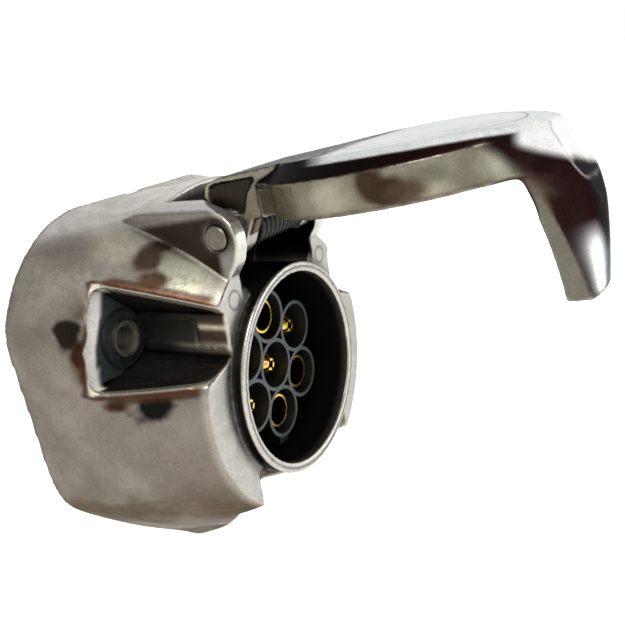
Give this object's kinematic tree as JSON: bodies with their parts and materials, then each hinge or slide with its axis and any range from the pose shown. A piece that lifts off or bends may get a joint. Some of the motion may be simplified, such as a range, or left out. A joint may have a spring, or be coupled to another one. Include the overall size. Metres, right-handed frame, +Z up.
{
  "type": "trailer wiring connector",
  "caption": "Metal trailer socket with a round collar, a black contact insert and a hinged lid with a finger lip, bolted on from the front",
  "frame": {"origin": "on the flat rear mounting plane, at the axis of the round socket", "axes": "+X to the right seen from the front, the socket faces -Y and +Y runs back into the mounting plate, +Z up towards the hinge"},
  "size_m": [0.0916, 0.1082, 0.1031],
  "materials": {
    "cast_metal": "polished casting",
    "insert_plastic": "moulded black",
    "contact_brass": "bright turned",
    "seal_rubber": "black rubber",
    "spring_steel": "spring wire",
    "fastener_steel": "plain steel"
  },
  "bodies": {
    "socket": {"collar_tube": "cast_metal", "contact_insert": "insert_plastic", "hinge_pin": "fastener_steel", "housing": "cast_metal", "insert_screw_left": "fastener_steel", "insert_screw_right": "fastener_steel", "lid_spring": "spring_steel", "mount_bush_bottom": "fastener_steel", "mount_bush_left": "fastener_steel", "mount_bush_right": "fastener_steel", "pin_contact_1": "contact_brass", "pin_contact_3": "contact_brass", "pin_contact_6": "contact_brass", "pin_contact_7": "contact_brass", "sleeve_contact_2": "contact_brass", "sleeve_contact_4": "contact_brass", "sleeve_contact_5": "contact_brass", "terminal_screw_1": "fastener_steel", "terminal_screw_2": "fastener_steel", "terminal_screw_3": "fastener_steel", "terminal_screw_4": "fastener_steel", "terminal_screw_5": "fastener_steel", "terminal_screw_6": "fastener_steel", "terminal_screw_7": "fastener_steel"},
    "lid": {"lid": "cast_metal", "lid_seal": "seal_rubber", "seal_retainer": "fastener_steel", "retainer_screw": "fastener_steel"}
  },
  "joints": [
    {"name": "lid_hinge", "type": "hinge", "parent": "socket", "child": "lid", "pos_m": [0, -0.03606, 0.035], "axis": [1, 0, 0], "range_deg": [-12, 95.2]}
  ]
}
